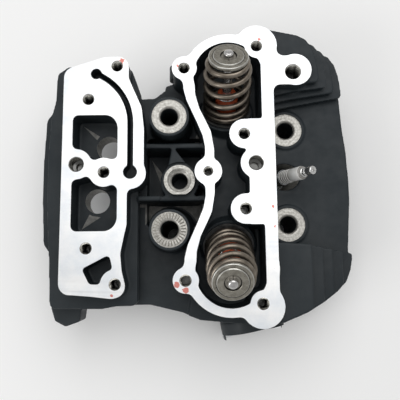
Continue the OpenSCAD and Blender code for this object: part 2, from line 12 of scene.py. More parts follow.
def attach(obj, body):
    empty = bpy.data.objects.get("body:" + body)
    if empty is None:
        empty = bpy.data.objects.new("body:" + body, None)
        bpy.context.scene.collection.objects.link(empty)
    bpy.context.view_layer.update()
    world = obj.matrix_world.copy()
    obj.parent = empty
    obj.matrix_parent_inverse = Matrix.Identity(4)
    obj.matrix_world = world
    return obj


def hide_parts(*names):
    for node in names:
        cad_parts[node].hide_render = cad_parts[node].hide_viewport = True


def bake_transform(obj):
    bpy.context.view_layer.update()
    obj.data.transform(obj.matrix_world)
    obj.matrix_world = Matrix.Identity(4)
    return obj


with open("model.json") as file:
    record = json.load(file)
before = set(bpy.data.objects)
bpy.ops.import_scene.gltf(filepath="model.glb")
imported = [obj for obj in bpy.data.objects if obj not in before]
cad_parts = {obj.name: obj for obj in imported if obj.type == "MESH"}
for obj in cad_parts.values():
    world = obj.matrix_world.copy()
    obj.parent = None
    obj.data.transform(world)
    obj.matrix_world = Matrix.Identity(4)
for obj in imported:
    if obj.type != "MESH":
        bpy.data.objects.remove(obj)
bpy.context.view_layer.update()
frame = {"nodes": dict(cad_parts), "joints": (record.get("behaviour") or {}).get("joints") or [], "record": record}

MM = 0.001
MOUNTS = {m["name"]: m for m in frame["record"]["mounts"]}
JOINTS = {j["name"]: j for j in frame["joints"]}
DECK_Z = MOUNTS["valve_deck"]["pos_m"][2]
CHAMBER_CENTRE = Vector((1 * MM, 0, -35.4 * MM))
CHAMBER_R = 59 * MM
TOP_BODY = "head"
# Teeth that a serrated bolt head has pressed into one seat.
TEETH = 30


# ---------- frames ----------

def frame_along(origin, direction):
    """Matrix whose +Z runs along a direction and whose origin is a point."""
    turn = Vector(direction).normalized().to_track_quat("Z", "Y").to_matrix().to_4x4()
    return Matrix.Translation(Vector(origin)) @ turn


def valve_frame(side):
    """Frame of a valve: origin at the chamber sphere's centre, +Z up the stem."""
    lift = Vector(JOINTS[side + "_valve_lift"]["axis"])
    return frame_along(CHAMBER_CENTRE, -lift)


PLUG_TILT = radians(28.3)
PLUG_FRAME = frame_along(
    (33.6 * MM, 0, 34.9 * MM), (sin(PLUG_TILT), 0, cos(PLUG_TILT))
)


# ---------- meshes ----------

def new_object(name, verts, faces, material=None, smooth_angle=40):
    """Mesh object from vertices in metres."""
    mesh = bpy.data.meshes.new(name)
    mesh.from_pydata([tuple(v) for v in verts], [], faces)
    mesh.update()
    obj = bpy.data.objects.new(name, mesh)
    bpy.context.scene.collection.objects.link(obj)
    if material is not None:
        mesh.materials.append(material)
    shade(mesh, smooth_angle)
    return obj


def shade(mesh, smooth_angle):
    """Smooth shading with sharp edges where the surface turns quickly."""
    mesh.polygons.foreach_set("use_smooth", [True] * len(mesh.polygons))
    mesh.set_sharp_from_angle(angle=radians(smooth_angle))


def store(mesh, name, values):
    """Stores one number per vertex under a name that a material can read."""
    layer = mesh.attributes.new(name, "FLOAT", "POINT")
    layer.data.foreach_set("value", np.asarray(values, dtype=np.float32))


def grid_faces(rows, columns):
    """Quads of a tube whose rows are rings of the same number of vertices."""
    faces = []
    for i in range(rows - 1):
        for k in range(columns):
            a = i * columns + k
            b = i * columns + (k + 1) % columns
            faces.append((a, b, b + columns, a + columns))
    return faces


def cleaned(profile):
    """Profile without neighbouring points that coincide."""
    kept = [profile[0]]
    for point in profile[1:]:
        if Vector(point).to_2d() != Vector(kept[-1]).to_2d():
            kept.append(point)
    return kept


def rounded(profile, radius, closed, steps=3):
    """Profile in millimetres with each of its corners rounded by short arcs."""
    count = len(profile)
    out = []
    for i, point in enumerate(profile):
        here = Vector(point)
        if not closed and i in (0, count - 1):
            out.append(here)
            continue
        before = Vector(profile[i - 1]) - here
        after = Vector(profile[(i + 1) % count]) - here
        reach = min(radius, before.length * 0.45, after.length * 0.45)
        if reach < 0.02 or before.angle(after, pi) > radians(172):
            out.append(here)
            continue
        start = here + before.normalized() * reach
        end = here + after.normalized() * reach
        for k in range(steps + 1):
            t = k / steps
            out.append(start * (1 - t) ** 2 + here * 2 * t * (1 - t) + end * t * t)
    return out


def lathe(name, profile, place, material, radius=0.25, closed=True, segments=96, smooth_angle=40):
    """Turned piece. The profile holds (radius, height) in millimetres; an open one ends on the axis."""
    points = rounded([Vector(p) for p in cleaned(profile)], radius, closed)
    rows = len(points)
    verts = []
    rings = []
    for point in points:
        for k in range(segments):
            angle = 2 * pi * k / segments
            local = Vector((point.x * cos(angle), point.x * sin(angle), point.y)) * MM
            verts.append(place @ local)
            rings.append(point.x)
    faces = grid_faces(rows, segments)
    if closed:
        last = (rows - 1) * segments
        for k in range(segments):
            following = (k + 1) % segments
            faces.append((last + k, last + following, following, k))
    obj = new_object(name, verts, faces, material, smooth_angle)
    store(obj.data, "ring", rings)
    merge(obj.data)
    shade(obj.data, smooth_angle)
    return obj


def merge(mesh, distance=1e-6):
    """Joins vertices that coincide and points every face outwards."""
    work = bmesh.new()
    work.from_mesh(mesh)
    bmesh.ops.remove_doubles(work, verts=work.verts, dist=distance)
    bmesh.ops.dissolve_degenerate(work, edges=work.edges, dist=distance / 10)
    bmesh.ops.recalc_face_normals(work, faces=work.faces)
    work.to_mesh(mesh)
    work.free()


def apply_modifiers(obj):
    """Replaces an object's mesh by what its modifiers make of it."""
    graph = bpy.context.evaluated_depsgraph_get()
    graph.update()
    result = bpy.data.meshes.new_from_object(
        obj.evaluated_get(graph), preserve_all_data_layers=True, depsgraph=graph
    )
    obj.modifiers.clear()
    old = obj.data
    obj.data = result
    bpy.data.meshes.remove(old)


def joined(name, objects):
    """One object from several, which it uses up."""
    work = bmesh.new()
    materials = []
    for obj in objects:
        part = bmesh.new()
        part.from_mesh(obj.data)
        for face in part.faces:
            face.material_index += len(materials)
        materials.extend(obj.data.materials)
        passing = bpy.data.meshes.new("passing")
        part.to_mesh(passing)
        part.free()
        work.from_mesh(passing)
        bpy.data.meshes.remove(passing)
    mesh = bpy.data.meshes.new(name)
    work.to_mesh(mesh)
    work.free()
    for material in materials:
        mesh.materials.append(material)
    for obj in objects:
        bpy.data.objects.remove(obj)
    result = bpy.data.objects.new(name, mesh)
    bpy.context.scene.collection.objects.link(result)
    return result


def remove(obj):
    """Deletes a helper object with its mesh."""
    mesh = obj.data
    bpy.data.objects.remove(obj)
    bpy.data.meshes.remove(mesh)


def box_object(name, low, high):
    """Box between two corners in metres."""
    work = bmesh.new()
    bmesh.ops.create_cube(work, size=1)
    for vert in work.verts:
        for axis in range(3):
            middle = (low[axis] + high[axis]) / 2
            vert.co[axis] = middle + vert.co[axis] * (high[axis] - low[axis])
    mesh = bpy.data.meshes.new(name)
    work.to_mesh(mesh)
    work.free()
    obj = bpy.data.objects.new(name, mesh)
    bpy.context.scene.collection.objects.link(obj)
    return obj


# ---------- materials ----------

class Shader:
    """Small helper that builds a material's nodes one at a time."""

    def __init__(self, name, colour, metallic, roughness, specular=0.5):
        self.material = bpy.data.materials.new(name)
        self.material.use_nodes = True
        self.tree = self.material.node_tree
        self.surface = self.tree.nodes["Principled BSDF"]
        self.surface.inputs["Base Color"].default_value = (*colour, 1)
        self.surface.inputs["Metallic"].default_value = metallic
        self.surface.inputs["Roughness"].default_value = roughness
        self.surface.inputs["Specular IOR Level"].default_value = specular
        self.where = self.node("ShaderNodeTexCoord").outputs["Object"]
        self.bumps = None

    def node(self, kind, **values):
        """New node with some of its settings."""
        made = self.tree.nodes.new(kind)
        for key, value in values.items():
            setattr(made, key, value)
        return made

    def link(self, source, target):
        """Joins two sockets."""
        self.tree.links.new(source, target)

    def noise(self, size_mm, detail=3, roughness=0.6, stretch=(1, 1, 1), where=None):
        """Noise whose blotches are about size_mm across."""
        scaled = self.node("ShaderNodeMapping")
        scaled.inputs["Scale"].default_value = stretch
        self.link(where or self.where, scaled.inputs["Vector"])
        made = self.node("ShaderNodeTexNoise")
        made.inputs["Scale"].default_value = 1 / (size_mm * MM)
        made.inputs["Detail"].default_value = detail
        made.inputs["Roughness"].default_value = roughness
        self.link(scaled.outputs["Vector"], made.inputs["Vector"])
        return made.outputs["Fac"]

    def attribute(self, name):
        """Number stored on each vertex of the piece."""
        made = self.node("ShaderNodeAttribute", attribute_name=name)
        return made.outputs["Fac"]

    def distance(self, vector, point):
        """Distance in metres between a vector and a fixed point."""
        gap = self.node("ShaderNodeVectorMath", operation="DISTANCE")
        self.link(vector, gap.inputs[0])
        gap.inputs[1].default_value = point
        return gap.outputs["Value"]

    def ranged(self, value, low, high, to_low, to_high):
        """Value carried from one range to another and kept inside it."""
        made = self.node("ShaderNodeMapRange")
        self.link(value, made.inputs["Value"])
        for key, number in zip(("From Min", "From Max", "To Min", "To Max"),
                               (low, high, to_low, to_high)):
            made.inputs[key].default_value = number
        return made.outputs["Result"]

    def maths(self, operation, first, second=None):
        """Result of one operation on sockets or plain numbers."""
        made = self.node("ShaderNodeMath", operation=operation)
        for socket, value in zip(made.inputs, (first, second)):
            if value is None:
                continue
            if isinstance(value, (int, float)):
                socket.default_value = value
            else:
                self.link(value, socket)
        return made.outputs[0]

    def colours(self, value, first, second, low=0.35, high=0.65):
        """Colour that runs from one to another as a value rises."""
        ramp = self.node("ShaderNodeValToRGB")
        ramp.color_ramp.elements[0].position = low
        ramp.color_ramp.elements[1].position = high
        ramp.color_ramp.elements[0].color = (*first, 1)
        ramp.color_ramp.elements[1].color = (*second, 1)
        self.link(value, ramp.inputs["Fac"])
        return ramp.outputs["Color"]

    def mixed(self, amount, first, second):
        """Mix of two colours; each is a socket or three numbers."""
        made = self.node("ShaderNodeMix", data_type="RGBA")
        self.link(amount, made.inputs["Factor"])
        for key, value in (("A", first), ("B", second)):
            socket = [s for s in made.inputs if s.name == key and s.type == "RGBA"][0]
            if isinstance(value, tuple):
                socket.default_value = (*value, 1)
            else:
                self.link(value, socket)
        return [s for s in made.outputs if s.type == "RGBA"][0]

    def colour(self, socket):
        """Sets the surface's colour."""
        self.link(socket, self.surface.inputs["Base Color"])

    def roughness(self, socket):
        """Sets the surface's roughness."""
        self.link(socket, self.surface.inputs["Roughness"])

    def bump(self, height, strength, depth_mm):
        """Adds a layer of relief over those already there."""
        made = self.node("ShaderNodeBump")
        made.inputs["Strength"].default_value = strength
        made.inputs["Distance"].default_value = depth_mm * MM
        self.link(height, made.inputs["Height"])
        if self.bumps is not None:
            self.link(self.bumps, made.inputs["Normal"])
        self.bumps = made.outputs["Normal"]
        self.link(self.bumps, self.surface.inputs["Normal"])


def coated_casting():
    """Black heat-proof coat over sand-cast aluminium."""
    s = Shader("coated_casting", (0.017, 0.023, 0.027), 0.0, 0.5, specular=0.28)
    s.colour(s.colours(s.noise(38, detail=4), (0.013, 0.0185, 0.0225), (0.023, 0.0285, 0.032)))
    s.roughness(s.ranged(s.noise(9, detail=5), 0.3, 0.7, 0.42, 0.6))
    s.bump(s.noise(6, detail=3), 0.3, 0.3)
    s.bump(s.noise(0.8, detail=4), 0.45, 0.08)
    return s.material


def sandblasted_floor():
    """Pocket floors where the coat is thin and the grey metal shows through."""
    s = Shader("sandblasted_floor", (0.12, 0.115, 0.105), 0.15, 0.6, specular=0.4)
    s.colour(s.colours(s.noise(5, detail=5), (0.11, 0.11, 0.103), (0.24, 0.235, 0.22)))
    s.bump(s.noise(0.8, detail=4), 0.5, 0.1)
    return s.material


def near_any(s, places, low_mm, high_mm):
    """1 within the low distance of any of the deck's (x, y) places in mm, 0 beyond the high one."""
    result = None
    for x, y in places:
        gap = s.distance(s.where, (x * MM, y * MM, DECK_Z))
        near = s.ranged(gap, high_mm * MM, low_mm * MM, 0, 1)
        result = near if result is None else s.maths("MAXIMUM", result, near)
    return result


def machined_deck():
    """Face-milled aluminium, very bright, with cutter marks, nicks and traces of red sealant."""
    s = Shader("machined_deck", (0.85, 0.86, 0.87), 0.68, 0.36)
    marks = s.noise(1.2, detail=2, stretch=(0.03, 1, 1))
    bright = s.colours(s.noise(16, detail=4), (0.76, 0.79, 0.82), (0.90, 0.90, 0.895))
    specks = s.noise(1.5, detail=4, roughness=0.7)
    s.roughness(s.ranged(marks, 0.35, 0.65, 0.30, 0.46))
    s.bump(marks, 0.25, 0.02)
    worn = s.mixed(s.ranged(specks, 0.66, 0.74, 0, 0.45), bright, (0.45, 0.45, 0.46))
    ragged = s.noise(2.6, detail=4)
    large = near_any(s, ((-77, 83), (-31, -84), (-37, -80)), 1.5, 5)
    small = near_any(s, ((-36, 79), (25, 99), (-82, -87), (31.5, -26), (32.5, -40)), 0.7, 2.4)
    stain = s.maths("MULTIPLY", s.maths("MAXIMUM", large, small), ragged)
    stained = s.mixed(s.ranged(stain, 0.40, 0.46, 0, 0.85), worn, (0.55, 0.10, 0.06))
    arm = MOUNTS["bracket_screw"]["pos_m"]
    rim = near_any(s, ((arm[0] / MM, arm[1] / MM),), 7.0, 8.2)
    nicks = s.maths("MULTIPLY", rim, s.noise(3.2, detail=3))
    s.colour(s.mixed(s.ranged(nicks, 0.62, 0.66, 0, 0.9), stained, (0.07, 0.065, 0.06)))
    return s.material


def turned_seat():
    """Spot-faced bolt seats: concentric tool marks and scuffs from the bolt heads."""
    s = Shader("turned_seat", (0.4, 0.39, 0.36), 0.7, 0.36)
    flat = s.node("ShaderNodeVectorMath", operation="MULTIPLY")
    flat.inputs[1].default_value = (1, 1, 0)
    s.link(s.where, flat.inputs[0])
    nearest = None
    for name in ("inner_head_bolts", "outer_head_bolts"):
        for place in pattern_places(name):
            away = s.distance(flat.outputs["Vector"], (place.x, place.y, 0))
            nearest = away if nearest is None else s.maths("MINIMUM", nearest, away)
    groove_pitch = 0.6 * MM
    band_pitch = 2.3 * MM
    rings = s.maths("SINE", s.maths("MULTIPLY", nearest, 2 * pi / groove_pitch))
    bands = s.maths("SINE", s.maths("MULTIPLY", nearest, 2 * pi / band_pitch))
    scuffs = s.noise(1.6, detail=5)
    clean = s.colours(scuffs, (0.30, 0.29, 0.265), (0.52, 0.51, 0.475), 0.3, 0.6)
    clean = s.mixed(s.ranged(bands, 0.2, 1, 0, 0.3), clean, (0.24, 0.22, 0.19))
    bitten = pattern_places("inner_head_bolts")[0]
    offset = s.node("ShaderNodeVectorMath", operation="SUBTRACT")
    s.link(s.where, offset.inputs[0])
    offset.inputs[1].default_value = (bitten.x, bitten.y, 0)
    split = s.node("ShaderNodeSeparateXYZ")
    s.link(offset.outputs["Vector"], split.inputs[0])
    angle = s.maths("ARCTAN2", split.outputs["Y"], split.outputs["X"])
    teeth = s.ranged(s.maths("SINE", s.maths("MULTIPLY", angle, TEETH)), -0.2, 0.9, 0, 1)
    from_axis = s.distance(flat.outputs["Vector"], (bitten.x, bitten.y, 0))
    track = s.maths("ABSOLUTE", s.maths("SUBTRACT", from_axis, 10 * MM))
    grooves = s.maths("MULTIPLY", s.ranged(track, 2.0 * MM, 1.7 * MM, 0, 0.8), teeth)
    s.colour(s.mixed(grooves, clean, (0.13, 0.12, 0.1)))
    s.roughness(s.ranged(scuffs, 0.3, 0.7, 0.5, 0.32))
    s.bump(rings, 0.35, 0.03)
    s.bump(scuffs, 0.3, 0.06)
    return s.material


def cut_thread():
    """Tapped and drilled holes: bright metal at the mouth, with painted shade that darkens them further down."""
    s = Shader("cut_thread", (0.6, 0.59, 0.56), 1.0, 0.22)
    split = s.node("ShaderNodeSeparateXYZ")
    s.link(s.where, split.inputs[0])
    # Painted shade: the hole's colour turns dark with depth below the deck, as in a shaded recess.
    painted_depth_shade = s.ranged(split.outputs["Z"], DECK_Z - 11 * MM, DECK_Z - 2 * MM, 0, 1)
    bright = s.colours(s.noise(2, detail=4), (0.5, 0.49, 0.46), (0.85, 0.84, 0.8))
    s.colour(s.mixed(painted_depth_shade, (0.13, 0.13, 0.125), bright))
    s.bump(s.noise(0.5, detail=3), 0.3, 0.03)
    return s.material


def chamber_metal():
    """Combustion chamber: bare aluminium with a warm bloom."""
    s = Shader("chamber_metal", (0.55, 0.53, 0.5), 0.75, 0.42)
    s.colour(s.colours(s.noise(14, detail=5), (0.44, 0.42, 0.39), (0.64, 0.62, 0.59)))
    s.roughness(s.ranged(s.noise(4, detail=4), 0.3, 0.7, 0.34, 0.52))
    s.bump(s.noise(1.1, detail=4), 0.35, 0.06)
    return s.material


def spring_steel():
    """Shot-peened, oil-tempered wire with a bronze-brown cast."""
    s = Shader("spring_steel", (0.22, 0.19, 0.155), 0.9, 0.3)
    s.colour(s.colours(s.noise(7, detail=4), (0.155, 0.132, 0.106), (0.275, 0.238, 0.195)))
    s.roughness(s.ranged(s.noise(2.5, detail=4), 0.3, 0.7, 0.26, 0.42))
    s.bump(s.noise(0.45, detail=3), 0.45, 0.04)
    return s.material


def turned_steel(name, dark, light, roughness, pitch_mm, bands=()):
    """Lathe-turned steel with fine concentric marks read from the piece's own rings.

    Each band is a radius, a half width and a brightness: painted highlights on edges and painted shade in creases
    and gaps.
    """
    s = Shader(name, light, 0.95, roughness)
    ring = s.attribute("ring")
    marks = s.maths("SINE", s.maths("MULTIPLY", ring, 2 * pi / pitch_mm))
    colour = s.colours(s.noise(3.5, detail=5), dark, light)
    # Painted light: bright bands are painted highlights, dark bands painted shade.
    for radius, half, tone in bands:
        away = s.maths("ABSOLUTE", s.maths("SUBTRACT", ring, radius))
        colour = s.mixed(s.ranged(away, half, half / 3, 0, 0.85), colour, (tone, tone, tone * 0.95))
    s.colour(colour)
    s.roughness(s.ranged(s.noise(1.8, detail=4), 0.3, 0.7, roughness * 0.8, roughness * 1.3))
    s.bump(marks, 0.2, 0.02)
    s.bump(s.noise(0.6, detail=3), 0.25, 0.02)
    return s.material


def plain_metal(name, dark, light, roughness):
    """Bare metal with a fine grain and patchy gloss."""
    s = Shader(name, light, 0.95, roughness)
    s.colour(s.colours(s.noise(5, detail=5), dark, light))
    s.roughness(s.ranged(s.noise(2.2, detail=4), 0.3, 0.7, roughness * 0.75, roughness * 1.3))
    s.bump(s.noise(0.8, detail=3), 0.3, 0.03)
    return s.material


def seal_rubber():
    """Orange-red fluorocarbon rubber, slightly dusty."""
    s = Shader("seal_rubber", (0.55, 0.09, 0.03), 0.0, 0.5, specular=0.35)
    s.colour(s.colours(s.noise(3, detail=4), (0.46, 0.07, 0.025), (0.66, 0.13, 0.045)))
    s.bump(s.noise(0.7, detail=3), 0.3, 0.04)
    return s.material


def glazed_ceramic():
    """White glazed alumina with painted shade in the grooves between its ribs."""
    s = Shader("glazed_ceramic", (0.9, 0.9, 0.87), 0.0, 0.14)
    s.surface.inputs["Coat Weight"].default_value = 0.5
    s.surface.inputs["Coat Roughness"].default_value = 0.06
    glaze = s.colours(s.noise(6, detail=4), (0.82, 0.81, 0.77), (0.92, 0.92, 0.9))
    # Painted shade: every part narrower than the ribs is darkened, the grooves, the insulator's end and its nose.
    painted_groove_shade = s.ranged(s.attribute("ring"), 5.0, 4.75, 0, 0.85)
    s.colour(s.mixed(painted_groove_shade, glaze, (0.16, 0.15, 0.135)))
    s.bump(s.noise(3, detail=2), 0.1, 0.03)
    return s.material


def studio_floor():
    """Plain pale paper."""
    s = Shader("studio_floor", (0.93, 0.93, 0.925), 0.0, 0.85, specular=0.1)
    s.bump(s.noise(3, detail=2), 0.05, 0.05)
    return s.material


# ---------- places of holes, from the record ----------

def pattern_places(name):
    """Centres of the holes of a two-hole line along Y, or the one centre of a single hole."""
    mount = MOUNTS[name]
    centre = Vector(mount["pos_m"])
    gap = mount["dims"].get("spacing_y_mm")
    if gap is None:
        return [centre]
    step = Vector((0, gap / 2 * MM, 0))
    return [centre - step, centre + step]


# Mounts that are tapped holes, with the name of the radius in each one's dimensions.
TAPPED = [
    ("valve_deck_corner_screws", "hole_r_mm"), ("valve_deck_end_screws", "hole_r_mm"),
    ("valve_deck_middle_screws", "hole_r_mm"), ("pushrod_deck_corner_screws", "hole_r_mm"),
    ("pushrod_deck_inner_screws", "hole_r_mm"), ("pushrod_deck_centre_screw", "r_mm"),
    ("valve_deck_small_screw", "r_mm"), ("bracket_screw", "r_mm"),
]
TAP_DEPTH = {"valve_deck_small_screw": 16, "bracket_screw": 20}
TAP_DEPTH_USUAL = 22
THREAD_PITCH = 1.41
THREAD_TOOTH = 0.5


def tapped_holes():
    """Place, radius and depth of each tapped hole in the decks."""
    for name, key in TAPPED:
        for place in pattern_places(name):
            on_deck = Vector((place.x, place.y, DECK_Z))
            yield on_deck, MOUNTS[name]["dims"][key], TAP_DEPTH.get(name, TAP_DEPTH_USUAL)


# ---------- the casting ----------

# Fineness of the casting's mesh, and the metal left on its flat faces for the mill.
VOXEL = 0.7 * MM
KEEP_FACES = 0.3
SOFTEN = 3
ALLOWANCE = 4 * MM

# Name of a flange's face, turns of its frame about X and Z, place of its ears and their turn.
FLANGES = [("intake_flange_face", -90, 0, 29, 0), ("exhaust_flange_face", 90, 12, 24, 50)]
FLANGE_ROOM = 19

# Holes for the head bolts, the height of their seats and the metal cut away above each seat.
BOLT_SEATS = [("inner_head_bolts", 82.9, 6), ("outer_head_bolts", 57.6, 14)]
BOSS_STEP_Z = 72
BOSS_FACE_Z = 79
BOSS_BORE_R = 6.1
OIL_HOLES = ("pushrod_deck_oil_hole", "valve_deck_oil_hole")
PASSAGES = ("exhaust_pushrod_passage", "intake_pushrod_passage")

# Corners of the valley floor where the coat is thin: low and high corners in millimetres.
THIN_COAT = [((-69, -36), (-50, -19)), ((-36, -32), (-17, -19)), ((-36, 29), (-20, 39.5)),
             ((-57.5, 28), (-48, 33)), ((-58.5, 4), (-51.5, 11))]
# Round marks that core pins left on the window floors: centre and radius in millimetres.
CORE_MARKS = [((-105, 35.5), 4.8), ((-101.3, -35), 4.4)]


def raised_faces(mesh, point, normal):
    """Machining allowance: a prism on each flat face in one plane, standing outwards."""
    work = bmesh.new()
    work.from_mesh(mesh)
    direction = Vector(normal).normalized()
    level = Vector(point).dot(direction)
    flat = [
        f for f in work.faces
        if f.normal.dot(direction) > 0.999
        and abs(f.calc_center_median().dot(direction) - level) < 0.02 * MM
    ]
    keep = set(flat)
    bmesh.ops.delete(work, geom=[f for f in work.faces if f not in keep], context="FACES")
    base = list(work.faces)
    for vert in work.verts:
        vert.co -= direction * MM
    grown = bmesh.ops.extrude_face_region(work, geom=base)
    moved = [v for v in grown["geom"] if isinstance(v, bmesh.types.BMVert)]
    bmesh.ops.translate(work, verts=moved, vec=direction * (ALLOWANCE + MM))
    bmesh.ops.recalc_face_normals(work, faces=work.faces)
    result = bpy.data.meshes.new("allowance")
    work.to_mesh(result)
    work.free()
    obj = bpy.data.objects.new("allowance", result)
    bpy.context.scene.collection.objects.link(obj)
    return obj


def bar(place, r, low, high):
    """Plain round bar in millimetres along a frame's +Z."""
    return lathe("bar", [(0, low), (r, low), (r, high), (0, high)], place, None,
                 radius=0, closed=False, segments=48)


def upright(x, y, z=0.0):
    """Upright frame at a place in metres."""
    return Matrix.Translation((x, y, z))


def hole_fillings():
    """Metal that fills the machined holes, so that softening the casting leaves their edges alone."""
    out = []
    for place, r, depth in tapped_holes():
        out.append(bar(upright(*place), r + 1.4, -depth - 1, 3.5))
    for name in OIL_HOLES:
        place = MOUNTS[name]["pos_m"]
        out.append(bar(upright(place[0], place[1], DECK_Z), 6, -19, 3.5))
    for place in pattern_places("inner_head_bolts"):
        out.append(bar(upright(place.x, place.y), 13.2, 60, 83.5))
    for place in pattern_places("outer_head_bolts"):
        out.append(bar(upright(place.x, place.y), 13.2, 40, 58.2))
    boss = MOUNTS["valley_boss"]["pos_m"]
    out.append(bar(upright(boss[0], boss[1]), 12.6, 47, 81))
    for name in PASSAGES:
        place = MOUNTS[name]["pos_m"]
        out.append(bar(upright(place[0], place[1]), 10.2, 50, 65.9))
    return out


def rough_casting():
    """The casting as it leaves the mould: soft edges, fillets and machining allowance."""
    node = frame["nodes"]["head_casting"]
    body = bpy.data.objects.new("casting", node.data.copy())
    bpy.context.scene.collection.objects.link(body)
    merge(body.data, 2e-6)
    faces = [((0, 0, DECK_Z), (0, 0, 1)), ((0, 0, 0), (0, 0, -1))]
    for flange in FLANGES:
        mount = MOUNTS[flange[0]]
        faces.append((mount["pos_m"], mount["axis"]))
    extra = [raised_faces(body.data, point, normal) for point, normal in faces]
    whole = joined("casting", [body] + extra + hole_fillings())
    whole.data.materials.clear()
    remesh = whole.modifiers.new("cast", "REMESH")
    remesh.mode = "VOXEL"
    remesh.voxel_size = VOXEL
    soften = whole.modifiers.new("soften", "SMOOTH")
    soften.iterations = SOFTEN
    soften.factor = 0.5
    thin = whole.modifiers.new("thin", "DECIMATE")
    thin.ratio = KEEP_FACES
    apply_modifiers(whole)
    return whole


def threaded_cutter(place, r, depth, mouth_r, threads):
    """Tool that leaves a real helical thread below a chamfer, then a plain tail."""
    steps, segments = 4, 36
    chamfer = mouth_r - r
    heights = [3.0, 0.0]
    heights += [-chamfer - i * THREAD_PITCH / steps for i in range(threads * steps + 1)]
    heights.append(-depth)
    verts = []
    for row, z in enumerate(heights):
        for k in range(segments):
            turn = k / segments
            if row < 2:
                radius = mouth_r
            elif row == len(heights) - 1:
                radius = r
            else:
                phase = (z / THREAD_PITCH - turn) % 1.0
                radius = r + THREAD_TOOTH * (1 - abs(2 * phase - 1))
            verts.append(place @ (Vector((radius * cos(2 * pi * turn),
                                          radius * sin(2 * pi * turn), z)) * MM))
    faces = grid_faces(len(heights), segments)
    faces.append(tuple(range(segments)))
    last = (len(heights) - 1) * segments
    faces.append(tuple(range(last + segments - 1, last - 1, -1)))
    obj = new_object("cutter", verts, faces)
    merge(obj.data)
    return obj


def turned_cutter(place, profile, segments=72):
    """Tool for a plain hole with steps and chamfers; the profile starts and ends on the axis."""
    return lathe("cutter", profile, place, None, radius=0, closed=False, segments=segments)


def painted(obj, material):
    """The same object with one material, which its cut faces pass on."""
    obj.data.materials.clear()
    obj.data.materials.append(material)
    return obj


def cut(body, tool):
    """Takes a tool's shape out of a body. Cut faces get the tool's materials."""
    boolean = body.modifiers.new("cut", "BOOLEAN")
    boolean.operation = "DIFFERENCE"
    boolean.solver = "MANIFOLD"
    boolean.material_mode = "TRANSFER"
    boolean.object = tool
    apply_modifiers(body)
    remove(tool)


def flange_mill(name, about_x, about_z, ear, ear_turn, segments=180):
    """Tool in a flange's outline, centred on the point that the record gives for its face.

    That point is above the port's axis, so the cut is too high and leaves the lower half proud.
    """
    hub, bar_half, ear_r = 24.5, 8.0, 8.5
    place = Matrix.Translation(Vector(MOUNTS[name]["pos_m"]))
    place @= Matrix.Rotation(radians(about_z), 4, "Z") @ Matrix.Rotation(radians(about_x), 4, "X")
    place @= Matrix.Rotation(radians(ear_turn), 4, "Z")
    verts = []
    for z in (0, FLANGE_ROOM):
        for k in range(segments):
            angle = 2 * pi * (k + 0.5) / segments
            across, along = abs(sin(angle)), abs(cos(angle))
            reach = max(hub, min(ear / along, bar_half / across))
            if ear * across < ear_r:
                reach = max(reach, ear * along + sqrt(ear_r ** 2 - (ear * across) ** 2))
            verts.append(place @ (Vector((reach * cos(angle), reach * sin(angle), z)) * MM))
    faces = grid_faces(2, segments)
    faces.append(tuple(range(segments)))
    faces.append(tuple(range(2 * segments - 1, segments - 1, -1)))
    obj = new_object("mill", verts, faces)
    merge(obj.data)
    return obj


def share_of_turn(direction):
    """Direction in the XY plane as a share of a full turn."""
    return Vector((1, 0)).angle_signed(direction, 0) / (2 * pi)


def serrate(mesh, place, level):
    """Radial teeth on the ring of a seat's cutter where a serrated bolt head has bitten."""
    depth = 0.35
    for vert in mesh.vertices:
        away = (vert.co - place).to_2d()
        r = away.length / MM
        if 8.2 < r < 11.8 and abs(vert.co.z - level * MM) < 0.1 * MM:
            phase = (share_of_turn(away) * TEETH) % 1.0
            vert.co.z += depth * MM * (1 - abs(2 * phase - 1))


